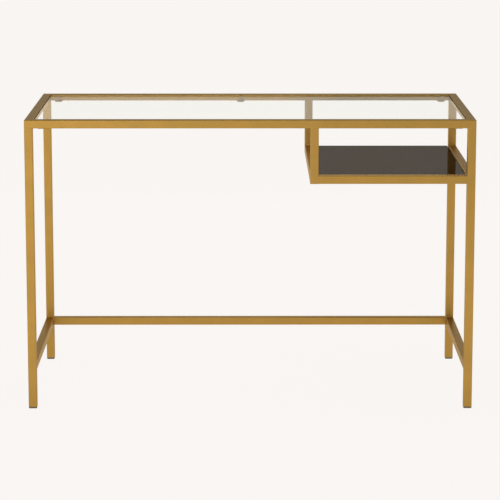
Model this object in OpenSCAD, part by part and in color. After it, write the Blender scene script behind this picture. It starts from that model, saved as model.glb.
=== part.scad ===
// Writing desk with a welded square-tube frame, a drop-in glass top and a
// glazed shelf bay hung under its right-hand end.
// Origin: centre of the footprint on the floor. +X is the sitter's right,
// +Y is towards the back, +Z is up. All sizes are in millimetres.

/* [Desk] */
// Overall width, outside of the legs
desk_w = 1180; // [1000:10:1400]
// Overall depth, outside of the legs
desk_d = 560; // [400:10:700]
// Overall height, floor to the rim of the top frame
desk_h = 775; // [720:5:800]

/* [Tube] */
// Outside width of the square steel tube
tube = 22; // [18:1:25]
// Wall thickness of the tube
wall = 1.5; // [1.2:0.1:2]
// Outside corner radius of the tube
corner_r = 2; // [1.6:0.1:3]

/* [Shelf bay] */
// Outside width of the bay, from the hanger posts to the end of the desk
bay_w = 433; // [300:1:460]
// Height from the floor to the underside of the shelf frame
shelf_z = 606; // [560:1:640]
// Height of the low bar behind the shelf panel
rear_bar_h = 10; // [5:0.5:10]

/* [Stretchers] */
// Height from the floor to the underside of the low stretchers
stretcher_z = 102; // [60:1:200]

/* [Glass] */
// Thickness of both glass panels
glass_t = 5; // [4:0.5:6]
// Depth of the glass surface below the rim of its frame
glass_recess = 3.5; // [3:0.5:6]
// Gap between a panel's edge and the tube beside it
glass_gap = 1.5; // [1:0.5:3]
// Radius of the panels' plan corners
glass_corner_r = 3; // [2:1:6]
// Width of the polished arris along the panels' edges
arris = 0.7; // [0.4:0.1:1]

/* [Glass supports] */
// Width of a welded support tab, which is also its nose diameter
tab_w = 20; // [16:1:24]
// Thickness of a support tab
tab_t = 2.5; // [2:0.5:4]
// How far a tab reaches under the panel from the tube's inner face
tab_reach = 12; // [11:1:14]
// How far a tab laps under the tube it is welded to
tab_lap = 10; // [8:1:14]
// Diameter of a clear bumper
bumper_d = 9; // [7:0.5:9]
// Distance from the ends of the desk to the outer top tabs
tab_inset = 45; // [38:1:80]
// Offset of the middle rear tab from the desk's centre
tab_mid_x = -26; // [-120:1:20]
// Distance from the ends of the shelf side rails to the shelf tabs
shelf_tab_inset = 60; // [45:5:120]

/* [Foot glides] */
// Visible height of a glide under its leg
glide_h = 4.5; // [3:0.5:8]
// Length of the glide's stem inside the leg
glide_stem_h = 22; // [15:1:30]
// Side of the glide's round-cornered core inside the leg
glide_core = 11; // [8:1:12]
// Thickness of the glide's grip fins
glide_fin_t = 1.2; // [1:0.1:2]

/* [Hidden] */

BRASS = [0.70, 0.54, 0.27];
CLEAR_GLASS = [0.90, 0.95, 0.94, 0.35];
DARK_GLASS = [0.08, 0.07, 0.06];
CLEAR_RUBBER = [0.88, 0.90, 0.88, 0.6];
GLIDE_PLASTIC = [0.32, 0.29, 0.27];

CURVE_FN = 48;
LEFT = -1;
RIGHT = 1;
FRONT = -1;
REAR = 1;

// Outer faces of the desk, and the centrelines of the tubes along its edges
half_w = desk_w / 2;
half_d = desk_d / 2;
leg_x = half_w - tube / 2;
leg_y = half_d - tube / 2;

// The top frame and the panel inside it
mitre_over = 5;
rail_z = desk_h - tube;
top_open_w = desk_w - 2 * tube;
top_open_d = desk_d - 2 * tube;

// The shelf bay: hanger posts, side rails and the opening between the rails
hanger_x = half_w - bay_w + tube / 2;
bay_left = hanger_x + tube / 2;
bay_right = half_w - tube;
bay_mid_x = (bay_left + bay_right) / 2;
shelf_open_w = bay_right - bay_left;
side_rail_len = desk_d - 2 * tube;
panel_front_y = -half_d + tube + glass_gap;
panel_rear_y = half_d - glass_gap;
panel_d = panel_rear_y - panel_front_y;
panel_mid_y = (panel_front_y + panel_rear_y) / 2;

// Supports: a bumper fills the height from its tab to the panel it carries,
// and stands just inside the panel's edge
bumper_h = tube - glass_recess - glass_t;
bumper_inset = glass_gap + bumper_d / 2;
rear_bar_under = min(rear_bar_h, bumper_h - 0.5);
top_tab_x = half_w - tab_inset;
shelf_tab_y = half_d - tube - shelf_tab_inset;

// Side of the glide's grip fins, a slide fit inside the tube
fin_side = tube - 2 * wall - 0.1;

// ---------------------------------------------------------------- profiles

// Square with true round corners, centred on the origin
module round_square(side_x, side_y, r) {
    square([side_x - 2 * r, side_y], center = true);
    square([side_x, side_y - 2 * r], center = true);
    for (x = [-1, 1], y = [-1, 1])
        translate([x * (side_x / 2 - r), y * (side_y / 2 - r)])
            circle(r = r, $fn = CURVE_FN);
}

// Section of the square tube, or of a flatter tube of the same width
module tube_section(height = tube) {
    outer_r = min(corner_r, height / 4);
    inner_r = max(outer_r - wall, 0.3);
    difference() {
        round_square(tube, height, outer_r);
        round_square(tube - 2 * wall, height - 2 * wall, inner_r);
    }
}

// Lengths of tube, centred on the origin along one axis
module tube_x(length, height = tube)
    rotate([90, 0, 90])
        linear_extrude(length, center = true) tube_section(height);

module tube_y(length)
    rotate([90, 0, 0])
        linear_extrude(length, center = true) tube_section();

// ------------------------------------------------------------- steel frame

module leg(x_side, y_side)
    color(BRASS)
        translate([x_side * leg_x, y_side * leg_y, glide_h])
            linear_extrude(rail_z - glide_h) tube_section();

// Plan wedges that cut both ends of a rail at 45 degrees. They run past the
// tube's own faces by mitre_over on both sides.
module mitre_wedge_x(y_side)
    polygon([
        for (k = [[-1, 1], [1, 1], [1, -1], [-1, -1]])
            let (out = k[1] > 0 ? mitre_over : -tube - mitre_over)
            [k[0] * (half_w + out), y_side * (half_d + out)]
    ]);

module mitre_wedge_y(x_side)
    polygon([
        for (k = [[-1, 1], [1, 1], [1, -1], [-1, -1]])
            let (out = k[1] > 0 ? mitre_over : -tube - mitre_over)
            [x_side * (half_w + out), k[0] * (half_d + out)]
    ]);

// Column that rounds the four upright corners of the mitred top frame
module frame_footprint()
    linear_extrude(desk_h + tube)
        round_square(desk_w, desk_d, corner_r);

module top_rail_x(y_side)
    color(BRASS)
        intersection() {
            translate([0, y_side * leg_y, rail_z + tube / 2]) tube_x(desk_w);
            linear_extrude(desk_h + tube) mitre_wedge_x(y_side);
            frame_footprint();
        }

module top_rail_y(x_side)
    color(BRASS)
        intersection() {
            translate([x_side * leg_x, 0, rail_z + tube / 2]) tube_y(desk_d);
            linear_extrude(desk_h + tube) mitre_wedge_y(x_side);
            frame_footprint();
        }

module stretcher_rear()
    color(BRASS)
        translate([0, leg_y, stretcher_z + tube / 2]) tube_x(desk_w - 2 * tube);

module stretcher_side(x_side)
    color(BRASS)
        translate([x_side * leg_x, 0, stretcher_z + tube / 2])
            tube_y(desk_d - 2 * tube);

module hanger_post(y_side)
    color(BRASS)
        translate([hanger_x, y_side * leg_y, shelf_z + wall])
            linear_extrude(rail_z - shelf_z - wall) tube_section();

// Plate that closes the lower end of a hanger post
module hanger_cap(y_side)
    color(BRASS)
        translate([hanger_x, y_side * leg_y, shelf_z])
            linear_extrude(wall) round_square(tube, tube, corner_r);

module shelf_rail_front()
    color(BRASS)
        translate([bay_mid_x, -leg_y, shelf_z + tube / 2]) tube_x(shelf_open_w);

module shelf_side_rail(x)
    color(BRASS)
        translate([x, 0, shelf_z + tube / 2]) tube_y(side_rail_len);

module shelf_bar_rear()
    color(BRASS)
        translate([bay_mid_x, leg_y, shelf_z + rear_bar_under / 2])
            tube_x(shelf_open_w, rear_bar_under);

// ------------------------------------------------------------ glass panels

// Flat panel with plan corners and a flat arris round both faces
module glass_slab(w, d) {
    translate([0, 0, arris])
        linear_extrude(glass_t - 2 * arris) round_square(w, d, glass_corner_r);
    for (z = [0, glass_t - arris])
        translate([0, 0, z])
            linear_extrude(arris)
                round_square(w - 2 * arris, d - 2 * arris, glass_corner_r - arris);
}

module glass_top()
    color(CLEAR_GLASS)
        translate([0, 0, rail_z + bumper_h])
            glass_slab(top_open_w - 2 * glass_gap, top_open_d - 2 * glass_gap);

module shelf_panel()
    color(DARK_GLASS)
        translate([bay_mid_x, panel_mid_y, shelf_z + bumper_h])
            glass_slab(shelf_open_w - 2 * glass_gap, panel_d);

// ---------------------------------------------------------- glass supports

// D-shaped tab, welded under a tube whose inner face is at x = 0, with its
// round nose towards +X and its top face at z = 0
module support_tab()
    color(BRASS)
        translate([0, 0, -tab_t])
            linear_extrude(tab_t) {
                translate([-tab_lap, -tab_w / 2])
                    square([tab_lap + tab_reach - tab_w / 2, tab_w]);
                translate([tab_reach - tab_w / 2, 0])
                    circle(d = tab_w, $fn = CURVE_FN);
            }

// Clear bumper that stands on a tab and carries the edge of a panel
module bumper()
    color(CLEAR_RUBBER)
        translate([bumper_inset, 0, 0])
            cylinder(h = bumper_h, d = bumper_d, $fn = CURVE_FN);

// Places a support under a front or rear rail of the top frame
module at_top_rail(x, y_side)
    translate([x, y_side * (half_d - tube), rail_z])
        rotate([0, 0, -y_side * 90]) children();

// Places a support under a side rail of the shelf frame
module at_shelf_rail(x_side, y_side)
    translate([bay_mid_x + x_side * shelf_open_w / 2, y_side * shelf_tab_y, shelf_z])
        rotate([0, 0, x_side > 0 ? 180 : 0]) children();

// ------------------------------------------------------------- foot glides

// Moulded glide: a foot with an eased lower edge and a finned stem that
// grips the inside of the leg
module foot_glide(x_side, y_side) {
    foot_side = tube - 0.6;
    foot_r = corner_r + 0.6;
    ease = 0.8;
    fin_pitch = (glide_stem_h - glide_fin_t) / 4;
    color(GLIDE_PLASTIC)
        translate([x_side * leg_x, y_side * leg_y, 0]) {
            linear_extrude(ease)
                round_square(foot_side - 2 * ease, foot_side - 2 * ease, foot_r - ease);
            translate([0, 0, ease])
                linear_extrude(glide_h - ease)
                    round_square(foot_side, foot_side, foot_r);
            translate([0, 0, glide_h])
                linear_extrude(glide_stem_h)
                    round_square(glide_core, glide_core, corner_r);
            for (fin = [1 : 4])
                translate([0, 0, glide_h + fin * fin_pitch])
                    linear_extrude(glide_fin_t)
                        round_square(fin_side, fin_side, corner_r);
        }
}

// ------------------------------------------------------------------- parts

leg(LEFT, FRONT);  // leg_front_left
leg(RIGHT, FRONT);  // leg_front_right
leg(LEFT, REAR);  // leg_rear_left
leg(RIGHT, REAR);  // leg_rear_right

top_rail_x(FRONT);  // top_rail_front
top_rail_x(REAR);  // top_rail_rear
top_rail_y(LEFT);  // top_rail_left
top_rail_y(RIGHT);  // top_rail_right

stretcher_rear();
stretcher_side(LEFT);  // stretcher_left
stretcher_side(RIGHT);  // stretcher_right

hanger_post(FRONT);  // hanger_post_front
hanger_post(REAR);  // hanger_post_rear
hanger_cap(FRONT);  // hanger_cap_front
hanger_cap(REAR);  // hanger_cap_rear
shelf_rail_front();
shelf_side_rail(hanger_x);  // shelf_rail_left
shelf_side_rail(leg_x);  // shelf_rail_right
shelf_bar_rear();

glass_top();
shelf_panel();

// The five supports under the top: two at the front and three at the rear
for (place = [
    ["front_left", -top_tab_x, FRONT], ["front_right", top_tab_x, FRONT],
    ["rear_left", -top_tab_x, REAR], ["rear_middle", tab_mid_x, REAR], ["rear_right", top_tab_x, REAR]
]) {
    at_top_rail(place[1], place[2]) support_tab();
    at_top_rail(place[1], place[2]) bumper();
}

// The four supports under the shelf panel: two on each side rail
for (x = [["left", LEFT], ["right", RIGHT]], y = [["front", FRONT], ["rear", REAR]]) {
    place = str(x[0], "_", y[0]);
    at_shelf_rail(x[1], y[1]) support_tab();
    at_shelf_rail(x[1], y[1]) bumper();
}

// A glide in the foot of each leg
for (y = [["front", FRONT], ["rear", REAR]], x = [["left", LEFT], ["right", RIGHT]])
    foot_glide(x[1], y[1]);
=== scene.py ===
"""Looks of a glass-top writing desk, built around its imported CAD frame. All sizes are in metres."""

import math

import bmesh
import bpy
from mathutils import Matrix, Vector


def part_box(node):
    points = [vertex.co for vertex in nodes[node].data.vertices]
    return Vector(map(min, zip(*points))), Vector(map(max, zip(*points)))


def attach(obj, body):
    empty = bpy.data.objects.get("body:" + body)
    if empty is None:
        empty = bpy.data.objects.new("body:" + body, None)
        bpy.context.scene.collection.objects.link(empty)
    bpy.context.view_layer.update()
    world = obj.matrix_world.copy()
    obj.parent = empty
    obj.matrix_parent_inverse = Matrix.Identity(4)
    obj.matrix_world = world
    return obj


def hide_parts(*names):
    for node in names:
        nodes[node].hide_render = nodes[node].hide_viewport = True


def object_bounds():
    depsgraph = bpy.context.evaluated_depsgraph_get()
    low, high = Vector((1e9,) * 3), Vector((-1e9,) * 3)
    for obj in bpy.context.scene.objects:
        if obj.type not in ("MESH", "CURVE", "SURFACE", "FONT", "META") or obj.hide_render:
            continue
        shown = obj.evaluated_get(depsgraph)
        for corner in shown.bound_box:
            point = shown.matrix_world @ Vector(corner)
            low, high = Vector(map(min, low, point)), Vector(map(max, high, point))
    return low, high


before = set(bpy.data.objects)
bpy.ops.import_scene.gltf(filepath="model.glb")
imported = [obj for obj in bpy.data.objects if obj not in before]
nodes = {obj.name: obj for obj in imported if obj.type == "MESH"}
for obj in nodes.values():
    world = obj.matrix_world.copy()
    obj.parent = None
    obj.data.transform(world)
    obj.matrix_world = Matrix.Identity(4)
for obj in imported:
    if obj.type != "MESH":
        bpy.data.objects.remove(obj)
lo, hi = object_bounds()

MM = 0.001
AXES = (Vector((1, 0, 0)), Vector((0, 1, 0)), Vector((0, 0, 1)))

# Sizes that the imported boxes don't show
TUBE_CORNER = 2.0 * MM  # outside corner radius of the square tube
PANE_CORNER = 3.0 * MM  # plan corner radius of both glass panes
ARRIS = 0.7 * MM  # width of the polished arris along a pane's edges
FILLET = 1.8 * MM  # leg of the small weld fillets inside the corners
TAB_LAP = 10.0 * MM  # how far a support tab laps under its tube

GLASS_IOR = 1.5
PAPER = (0.947, 0.913, 0.888)  # colour of the floor and the backdrop


# ------------------------------------------------------------------ camera


def make_camera():
    """A long lens at the photograph's viewing angle: from the front, looking a little down on the top."""
    data = bpy.data.cameras.new("camera")
    data.sensor_width = 36.0
    data.lens = 156.3
    data.shift_y = -0.12
    data.clip_end = 150.0
    cam = bpy.data.objects.new("camera", data)
    cam.location = (-0.0124, -5.885, 1.545)
    cam.rotation_euler = (math.radians(90 - 9.666), 0.0, math.radians(-0.12))
    bpy.context.scene.collection.objects.link(cam)
    bpy.context.scene.camera = cam


make_camera()


# ---------------------------------------------------------- node shorthand


class Shader:
    """A node tree, with short calls for adding and joining nodes."""

    def __init__(self, owner, output="ShaderNodeOutputMaterial"):
        self.owner = owner
        owner.use_nodes = True
        self.tree = owner.node_tree
        self.tree.nodes.clear()
        self.output = self.tree.nodes.new(output)

    @classmethod
    def material(cls, name):
        return cls(bpy.data.materials.new(name))

    def node(self, kind, **values):
        """A node with attributes set by name, and its sockets set or joined through inputs={...}."""
        made = self.tree.nodes.new(kind)
        inputs = values.pop("inputs", {})
        for name, value in values.items():
            setattr(made, name, value)
        for name, value in inputs.items():
            self.put(made.inputs[name], value)
        return made

    def put(self, socket, value):
        if isinstance(value, bpy.types.NodeSocket):
            self.tree.links.new(value, socket)
        else:
            socket.default_value = value

    def surface(self, shader):
        self.tree.links.new(shader.outputs[0], self.output.inputs["Surface"])
        return self.owner

    def place(self, scale=(1.0, 1.0, 1.0)):
        """Object coordinates in metres, scaled by axis."""
        where = self.node("ShaderNodeTexCoord").outputs["Object"]
        return self.node("ShaderNodeMapping", inputs={"Vector": where, "Scale": scale}).outputs["Vector"]

    def noise(self, vector, scale, detail=3.0, roughness=0.5):
        return self.node(
            "ShaderNodeTexNoise",
            inputs={"Vector": vector, "Scale": scale, "Detail": detail, "Roughness": roughness},
        ).outputs["Fac"]

    def between(self, value, low, high, from_low=0.3, from_high=0.7):
        return self.node(
            "ShaderNodeMapRange",
            inputs={
                "Value": value,
                "From Min": from_low,
                "From Max": from_high,
                "To Min": low,
                "To Max": high,
            },
        ).outputs["Result"]

    def math(self, operation, a, b):
        return self.node("ShaderNodeMath", operation=operation, inputs={0: a, 1: b}).outputs[0]

    def mix(self, factor, a, b):
        """Mixes two colours; a may also be a socket."""
        start = a if isinstance(a, bpy.types.NodeSocket) else (*a, 1)
        return self.node(
            "ShaderNodeMix", data_type="RGBA", inputs={"Factor": factor, "A": start, "B": (*b, 1)}
        ).outputs["Result"]

    def glossy(self, colour, roughness):
        return self.node("ShaderNodeBsdfAnisotropic", inputs={"Color": (*colour, 1), "Roughness": roughness})

    def refraction(self, colour, roughness):
        return self.node(
            "ShaderNodeBsdfRefraction", inputs={"Color": colour, "Roughness": roughness, "IOR": GLASS_IOR}
        )

    def mix_shader(self, factor, a, b):
        return self.node("ShaderNodeMixShader", inputs={0: factor, 1: a.outputs[0], 2: b.outputs[0]})

    def seen(self):
        """1 for rays that reach the camera directly or through clear glass, else 0."""
        path = self.node("ShaderNodeLightPath").outputs
        return self.math("MAXIMUM", path["Is Camera Ray"], path["Is Transmission Ray"])

    def bump(self, height, distance):
        return self.node("ShaderNodeBump", inputs={"Height": height, "Distance": distance}).outputs["Normal"]

    def principled(self, **inputs):
        """A Principled node; spaces in its sockets' names are written as underscores."""
        named = {name.replace("_", " "): value for name, value in inputs.items()}
        return self.node("ShaderNodeBsdfPrincipled", inputs=named)


# --------------------------------------------------------------- materials


def satin_brass(name, axis):
    """Antique-brass finish on steel tube: a fine satin grain along one axis, clouded tone, thin lacquer."""
    s = Shader.material(name)
    grain_scale = [300.0, 300.0, 300.0]
    grain_scale[axis] = 20.0
    grain = s.noise(s.place(grain_scale), 6.0, detail=4.0, roughness=0.6)
    cloud = s.noise(s.place(), 16.0, detail=4.0, roughness=0.6)
    tone = s.mix(s.between(cloud, 0.0, 1.0), (0.445, 0.263, 0.058), (0.515, 0.289, 0.062))
    streaks = s.mix(s.between(grain, 0.0, 0.08), tone, (0.36, 0.20, 0.044))
    return s.surface(
        s.principled(
            Base_Color=streaks,
            Metallic=1.0,
            Roughness=s.between(grain, 0.38, 0.44),
            Specular_Tint=(0.74, 0.64, 0.46, 1),
            Coat_Weight=0.12,
            Coat_Roughness=0.3,
            Normal=s.bump(grain, 0.004 * MM),
        )
    )


def glass_reflection(s, most):
    """How much light a glass face reflects at each angle.

    It is never more than most, as through a polarising filter, except for total reflection inside the glass.
    """
    fresnel = s.node("ShaderNodeFresnel", inputs={"IOR": GLASS_IOR}).outputs[0]
    return s.math("MAXIMUM", s.math("MINIMUM", fresnel, most), s.math("GREATER_THAN", fresnel, 0.999))


def clear_glass_face():
    """Clear plate glass for the two faces of the top, with a faint haze from wiping."""
    s = Shader.material("clear_glass_face")
    wiped = s.noise(s.place((2.0, 9.0, 1.0)), 3.0, detail=5.0, roughness=0.6)
    through = s.refraction((0.990, 0.994, 0.993, 1), 0.0)
    mirror = s.glossy((0.97, 1.0, 0.90), s.between(wiped, 0.01, 0.06))
    return s.surface(s.mix_shader(glass_reflection(s, 0.14), through, mirror))


def clear_glass_edge():
    """Ground and polished edge of clear plate glass, faintly green."""
    s = Shader.material("clear_glass_edge")
    grind = s.noise(s.place(), 900.0, detail=2.0)
    tint = s.mix(s.between(grind, 0, 1), (0.80, 0.90, 0.86), (0.88, 0.95, 0.92))
    through = s.refraction(tint, 0.05)
    mirror = s.glossy((0.90, 1.0, 0.96), s.between(grind, 0.08, 0.2))
    return s.surface(s.mix_shader(glass_reflection(s, 0.2), through, mirror))


def dark_glass_face():
    """Near-black glossy glass of the shelf."""
    s = Shader.material("dark_glass_face")
    haze = s.noise(s.place((1.0, 3.0, 1.0)), 7.0, detail=5.0, roughness=0.6)
    body = s.principled(
        Base_Color=s.mix(s.between(haze, 0, 1), (0.022, 0.014, 0.006), (0.028, 0.018, 0.008)),
        Roughness=0.4,
        Specular_IOR_Level=0.0,
    )
    mirror = s.glossy((1.0, 0.87, 0.72), s.between(haze, 0.02, 0.07))
    return s.surface(s.mix_shader(glass_reflection(s, 0.09), body, mirror))


def dark_glass_edge():
    """Polished edge of the shelf's dark glass."""
    s = Shader.material("dark_glass_edge")
    grind = s.noise(s.place(), 900.0, detail=2.0)
    return s.surface(
        s.principled(
            Base_Color=s.mix(s.between(grind, 0, 1), (0.018, 0.020, 0.018), (0.032, 0.036, 0.032)),
            Roughness=s.between(grind, 0.08, 0.2),
            IOR=GLASS_IOR,
        )
    )


def clear_rubber():
    """Clear soft polyurethane of the bumpers: see-through, and just milky enough to show."""
    s = Shader.material("clear_rubber")
    cloud = s.noise(s.place(), 300.0)
    milk = s.principled(
        Base_Color=s.mix(s.between(cloud, 0, 1), (0.66, 0.56, 0.40), (0.76, 0.66, 0.49)),
        Roughness=s.between(cloud, 0.3, 0.45),
        Specular_IOR_Level=0.2,
    )
    through = s.node("ShaderNodeBsdfTransparent", inputs={"Color": (0.97, 0.94, 0.88, 1)})
    return s.surface(s.mix_shader(s.between(cloud, 0.15, 0.22), through, milk))


def glide_plastic():
    """Moulded brown-grey plastic with a fine spark-eroded texture."""
    s = Shader.material("glide_plastic")
    cloud = s.noise(s.place(), 60.0)
    pores = s.noise(s.place(), 1400.0, detail=2.0)
    return s.surface(
        s.principled(
            Base_Color=s.mix(s.between(cloud, 0, 1), (0.105, 0.085, 0.068), (0.135, 0.112, 0.094)),
            Roughness=s.between(pores, 0.42, 0.6),
            Normal=s.bump(pores, 0.03 * MM),
        )
    )


# One brass for each axis, so that the grain runs along every tube
BRASS = [satin_brass("satin_brass_along_" + name, axis) for axis, name in enumerate("xyz")]


def give(node, material):
    """Puts one material on all of a CAD node's slots."""
    mesh = nodes[node]
    if not mesh.material_slots:
        mesh.data.materials.append(material)
    for slot in mesh.material_slots:
        slot.material = material


def long_axis(node):
    low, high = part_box(node)
    size = high - low
    return max(range(3), key=lambda k: size[k])


for name in nodes:
    if name.startswith(("leg", "top_rail", "stretcher", "hanger", "shelf_rail", "shelf_bar")):
        give(name, BRASS[2 if "_cap_" in name else long_axis(name)])
    elif "_tab_" in name:
        give(name, BRASS[0])


# ---------------------------------------------------------- mesh shorthand


def skin(bm, rings):
    """Closes a solid over rings with equal numbers of points. Returns its two end faces."""
    loops = [[bm.verts.new(point) for point in ring] for ring in rings]
    for a, b in zip(loops, loops[1:]):
        for k in range(len(a)):
            following = (k + 1) % len(a)
            bm.faces.new((a[k], a[following], b[following], b[k]))
    return bm.faces.new(loops[0]), bm.faces.new(loops[-1])


def make_piece(name, bm, materials, body, stands_for=None):
    """A piece with smooth faces and crisp edges, which rides on a body and may stand for a CAD node."""
    bmesh.ops.recalc_face_normals(bm, faces=bm.faces)
    mesh = bpy.data.meshes.new(name)
    bm.to_mesh(mesh)
    bm.free()
    for material in materials:
        mesh.materials.append(material)
    mesh.shade_smooth()
    mesh.set_sharp_from_angle(angle=math.radians(30))
    piece = bpy.data.objects.new(name, mesh)
    bpy.context.scene.collection.objects.link(piece)
    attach(piece, body)
    if stands_for:
        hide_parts(stands_for)
    return piece


def rounded_outline(low, high, z, inset, radius, steps=6):
    """A level rectangle between two corners, inset on all sides, with round corners."""
    points = []
    for quarter, (right, rear) in enumerate(((1, 1), (-1, 1), (-1, -1), (1, -1))):
        x = (high.x if right > 0 else low.x) - right * (inset + radius)
        y = (high.y if rear > 0 else low.y) - rear * (inset + radius)
        for step in range(steps + 1):
            angle = math.radians(90 * (quarter + step / steps))
            points.append(Vector((x + radius * math.cos(angle), y + radius * math.sin(angle), z)))
    return points


def round_outline(middle, radius, z, steps=32):
    turns = [2 * math.pi * step / steps for step in range(steps)]
    return [Vector((middle.x + radius * math.cos(a), middle.y + radius * math.sin(a), z)) for a in turns]


# ------------------------------------------------------------- glass panes


def make_pane(node, face, edge):
    """A pane with a flat arris round both faces, polished edges and small round corners."""
    low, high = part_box(node)
    bm = bmesh.new()
    levels = ((low.z, ARRIS), (low.z + ARRIS, 0.0), (high.z - ARRIS, 0.0), (high.z, ARRIS))
    rings = [rounded_outline(low, high, z, inset, PANE_CORNER - inset) for z, inset in levels]
    faces = skin(bm, rings)
    for polygon in bm.faces:
        polygon.material_index = 0 if polygon in faces else 1
    make_piece(node + "_pane", bm, [face, edge], node, node)


make_pane("glass_top", clear_glass_face(), clear_glass_edge())
make_pane("shelf_panel", dark_glass_face(), dark_glass_edge())


# ------------------------------------------------------- bumpers and glides


def make_bumper(node, rubber):
    """A soft bumper: eased foot, upright side, and a dome pressed flat where the glass rests."""
    low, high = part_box(node)
    middle = (low + high) / 2
    radius = (high.x - low.x) / 2
    height = high.z - low.z
    profile = ((0.93, 0.0), (1.0, 0.06), (1.0, 0.62), (0.97, 0.76), (0.90, 0.88), (0.78, 0.96), (0.62, 1.0))
    bm = bmesh.new()
    skin(bm, [round_outline(middle, wide * radius, low.z + tall * height) for wide, tall in profile])
    make_piece(node + "_domed", bm, [rubber], "frame", node)


def make_glide(node, leg, plastic):
    """A moulded glide: a foot with rolled edges, and a finned stem that grips the inside of the leg."""
    low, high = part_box(node)
    foot_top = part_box(leg)[0].z
    edge, corner = 1.2 * MM, 2.6 * MM
    core_inset, fin_inset, fin = 5.2 * MM, 1.25 * MM, 1.2 * MM
    bm = bmesh.new()
    roll = [math.radians(angle) for angle in (90, 65, 40, 20, 0)]
    levels = [(low.z + edge * (1 - math.cos(math.radians(90) - a)), edge * (1 - math.cos(a))) for a in roll]
    levels += [(foot_top - 0.3 * MM, 0.0), (foot_top, 0.3 * MM)]
    skin(bm, [rounded_outline(low, high, z, inset, max(corner - inset, 0.8 * MM)) for z, inset in levels])
    core = [rounded_outline(low, high, z, core_inset, 2.0 * MM) for z in (foot_top, high.z - 0.5 * MM)]
    core.append(rounded_outline(low, high, high.z, core_inset + 0.5 * MM, 1.6 * MM))
    skin(bm, core)
    pitch = (high.z - foot_top - fin) / 4
    for count in range(1, 5):
        z = foot_top + count * pitch
        tiers = ((z, fin_inset + 0.2 * MM), (z + fin / 2, fin_inset), (z + fin, fin_inset + 0.2 * MM))
        skin(bm, [rounded_outline(low, high, level, inset, 1.6 * MM) for level, inset in tiers])
    make_piece(node + "_moulded", bm, [plastic], "frame", node)


rubber, plastic = clear_rubber(), glide_plastic()
for name in list(nodes):
    if "_bumper_" in name:
        make_bumper(name, rubber)
    elif name.startswith("foot_glide_"):
        make_glide(name, name.replace("foot_glide", "leg"), plastic)


# ------------------------------------------------------------------- welds


def groove_stations(width):
    """Places along a ground weld, each with how far the tube's round edges have dropped away there."""
    flat = width / 2 - TUBE_CORNER
    turns = [math.radians(angle) for angle in (0, 25, 45, 62, 76)]
    half = [(flat + TUBE_CORNER * math.sin(a), TUBE_CORNER * (1 - math.cos(a))) for a in turns]
    return [(-at, drop) for at, drop in reversed(half)] + half


def add_flush_fill(bm, corner, along, toward, out, width):
    """Fills the groove between a tube's cut end and the round edge of the tube that it is flush with.

    corner is the middle of the line where both tubes would meet if their edges were square. along runs
    down the groove, toward points from the round edge to the cut end, and out is the flush faces' normal.
    """
    r = TUBE_CORNER
    under, dip, overlap = 0.04 * MM, 0.10 * MM, 0.3 * MM
    rings = []
    for at, drop in groove_stations(width):
        start = corner + along * at
        recess = drop + under
        ring = []
        for step in range(7):
            depth = recess + (r - recess) * step / 6
            back = r - math.sqrt(r * r - (r - depth) ** 2)
            ring.append(start - toward * back - out * depth)
        ring.append(start + toward * overlap - out * r)
        ring.append(start + toward * overlap - out * recess)
        middle = (ring[0] + ring[-1]) / 2
        ring.append(middle - out * dip * (1 - drop / r))
        rings.append(ring)
    skin(bm, rings)


def add_fillet(bm, corner, along, side_a, side_b, length, leg):
    """A small hollow fillet along an inside corner; side_a and side_b are the normals of its two faces."""
    sunk = 0.1 * MM
    rings = []
    for share in (-1.0, -0.94, -0.82, -0.6, 0.0, 0.6, 0.82, 0.94, 1.0):
        size = leg * math.sqrt(1.02 - share ** 4)
        start = corner + along * share * length / 2
        ring = [start - (side_a + side_b) * sunk, start + side_a * size - side_b * sunk]
        for step in range(6):
            angle = math.radians(-90 - 90 * step / 5)
            from_a, from_b = size * (1 + math.cos(angle)), size * (1 + math.sin(angle))
            ring.append(start + side_a * from_a + side_b * from_b)
        ring.append(start + side_b * size - side_a * sunk)
        rings.append(ring)
    skin(bm, rings)


def joined_box(names):
    boxes = [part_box(name) for name in names]
    low = Vector([min(box[0][k] for box in boxes) for k in range(3)])
    high = Vector([max(box[1][k] for box in boxes) for k in range(3)])
    return low, high


def weld_end(member, axis, sign, against, label):
    """Welds one end of a tube to another: a ground fill on each flush side, a fillet on the others."""
    box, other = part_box(member), joined_box(against)
    end = 1 if sign > 0 else 0
    toward = AXES[axis] * -sign
    bm = bmesh.new()
    for across in {0, 1, 2} - {axis}:
        along = 3 - axis - across
        for side, out_sign in ((0, -1), (1, 1)):
            corner = (box[0] + box[1]) / 2
            corner[axis] = box[end][axis]
            corner[across] = box[side][across]
            width = box[1][along] - box[0][along]
            out = AXES[across] * out_sign
            step = (other[side][across] - box[side][across]) * out_sign
            if abs(step) < 0.5 * MM:
                add_flush_fill(bm, corner, AXES[along], toward, out, width)
            elif step > 0:
                add_fillet(bm, corner, AXES[along], out, toward, width - 2 * TUBE_CORNER, FILLET)
    make_piece(f"weld_{member}_{label}", bm, [BRASS[axis]], "frame")


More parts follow.
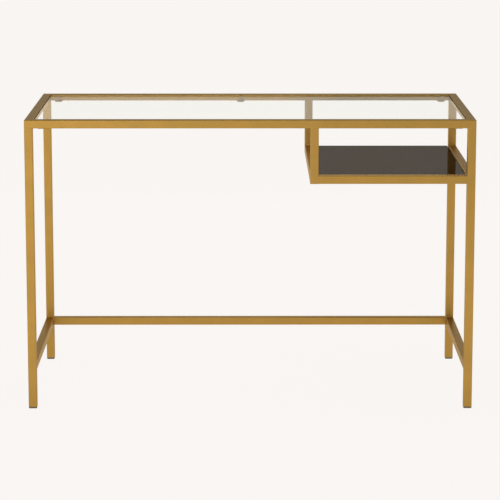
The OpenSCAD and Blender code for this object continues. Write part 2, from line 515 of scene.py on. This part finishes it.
TOP_RING = [f"top_rail_{side}" for side in ("front", "rear", "left", "right")]
HANGER = {row: [f"hanger_post_{row}", f"hanger_cap_{row}"] for row in ("front", "rear")}
for row in HANGER:
    for side in ("left", "right"):
        weld_end(f"leg_{row}_{side}", 2, 1, TOP_RING, "top")
    weld_end(f"hanger_post_{row}", 2, 1, [f"top_rail_{row}"], "top")
for sign, side in ((-1, "left"), (1, "right")):
    weld_end("stretcher_rear", 0, sign, [f"leg_rear_{side}"], side)
for sign, row in ((-1, "front"), (1, "rear")):
    for side in ("left", "right"):
        weld_end(f"stretcher_{side}", 1, sign, [f"leg_{row}_{side}"], row)
    weld_end("shelf_rail_left", 1, sign, HANGER[row], row)
    weld_end("shelf_rail_right", 1, sign, [f"leg_{row}_right"], row)
for rail, row in (("shelf_rail_front", "front"), ("shelf_bar_rear", "rear")):
    weld_end(rail, 0, -1, HANGER[row], "left")
    weld_end(rail, 0, 1, [f"leg_{row}_right"], "right")


def weld_tab(node, reach, inward):
    """Fillets along both sides and the outer end of a support tab, under the tube that it is welded to."""
    low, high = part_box(node)
    across = 1 - reach
    outer = low[reach] if inward > 0 else high[reach]
    lap_middle = outer + inward * TAB_LAP / 2
    down = -AXES[2]
    leg = 1.4 * MM
    bm = bmesh.new()
    for bound, out_sign in ((low, -1), (high, 1)):
        corner = Vector((0, 0, high.z))
        corner[across] = bound[across]
        corner[reach] = lap_middle
        add_fillet(bm, corner, AXES[reach], AXES[across] * out_sign, down, TAB_LAP * 0.8, leg)
    corner = Vector((0, 0, high.z))
    corner[across] = (low[across] + high[across]) / 2
    corner[reach] = outer
    width = high[across] - low[across]
    add_fillet(bm, corner, AXES[across], AXES[reach] * -inward, down, width * 0.8, leg)
    make_piece("weld_" + node, bm, [BRASS[across]], "frame")


for name in list(nodes):
    if name.startswith("top_tab_"):
        weld_tab(name, 1, 1 if "_front_" in name else -1)
    elif name.startswith("shelf_tab_"):
        weld_tab(name, 0, 1 if "_left_" in name else -1)


# ------------------------------------------------------------ stage, light


def make_floor():
    """A wide pale floor. It looks evenly lit, also through the glass, but lights the desk unevenly."""
    s = Shader.material("floor")
    depth = s.node("ShaderNodeSeparateXYZ", inputs={0: s.place()}).outputs["Y"]
    # The glow that the desk sees is painted light: brighter in front of the desk, and dimmer under and
    # behind it as a painted shadow of the desk.
    front = s.between(depth, 0.60, 1.18, -5.0, -1.4)
    under = s.between(depth, 1.0, 0.74, -1.0, -0.3)
    rear = s.between(depth, 1.0, 1.1, 0.2, 1.0)
    unseen = s.math("MULTIPLY", s.math("MULTIPLY", front, under), rear)
    strength = s.node("ShaderNodeMix", inputs={0: s.seen(), 2: unseen, 3: 0.985}).outputs[0]
    glow = s.node("ShaderNodeEmission", inputs={"Color": (*PAPER, 1), "Strength": strength})
    matt = s.node("ShaderNodeBsdfDiffuse", inputs={"Color": (0.05, 0.048, 0.046, 1)})
    material = s.surface(s.node("ShaderNodeAddShader", inputs={0: glow.outputs[0], 1: matt.outputs[0]}))
    mesh = bpy.data.meshes.new("floor")
    half = 60.0
    corners = [(-half, -half, 0), (half, -half, 0), (half, half, 0), (-half, half, 0)]
    mesh.from_pydata(corners, [], [(0, 1, 2, 3)])
    mesh.materials.append(material)
    floor = bpy.data.objects.new("floor", mesh)
    bpy.context.scene.collection.objects.link(floor)


def make_world():
    """Lights the desk with a white band along the horizon and a dim ceiling. It looks like the floor."""
    s = Shader(bpy.data.worlds.new("studio"), "ShaderNodeOutputWorld")
    coord = s.node("ShaderNodeTexCoord").outputs["Generated"]
    height = s.node("ShaderNodeSeparateXYZ", inputs={0: coord}).outputs["Z"]
    strength = s.between(height, 0.86, 0.30, 0.165, 0.26)
    glow = s.node("ShaderNodeBackground", inputs={"Color": (0.95, 0.99, 1.03, 1), "Strength": strength})
    backdrop = s.node("ShaderNodeBackground", inputs={"Color": (*PAPER, 1), "Strength": 1.0})
    bpy.context.scene.world = s.surface(s.mix_shader(s.seen(), glow, backdrop))


def soft_box(name, place, aim, size, watts):
    """A rectangular lamp that points at aim. Neither the camera nor a view through the clear glass shows it.
    """
    data = bpy.data.lights.new(name, "AREA")
    data.shape = "RECTANGLE"
    data.size, data.size_y = size
    data.energy = watts
    light = bpy.data.objects.new(name, data)
    light.location = place
    light.rotation_mode = "QUATERNION"
    light.rotation_quaternion = (Vector(place) - Vector(aim)).to_track_quat("Z", "Y")
    light.visible_camera = False
    light.visible_transmission = False
    bpy.context.scene.collection.objects.link(light)


make_floor()
make_world()
centre = (lo + hi) / 2
soft_box("key", (-1.6, -3.8, 1.15), centre, (3.0, 1.6), 22)
soft_box("top", (0.3, 0.2, 3.4), centre, (2.6, 1.6), 12)
soft_box("low_rear", (0.3, 3.0, 0.62), (0.0, 0.0, 0.12), (3.4, 0.5), 5)

bpy.context.scene.view_settings.view_transform = "Standard"
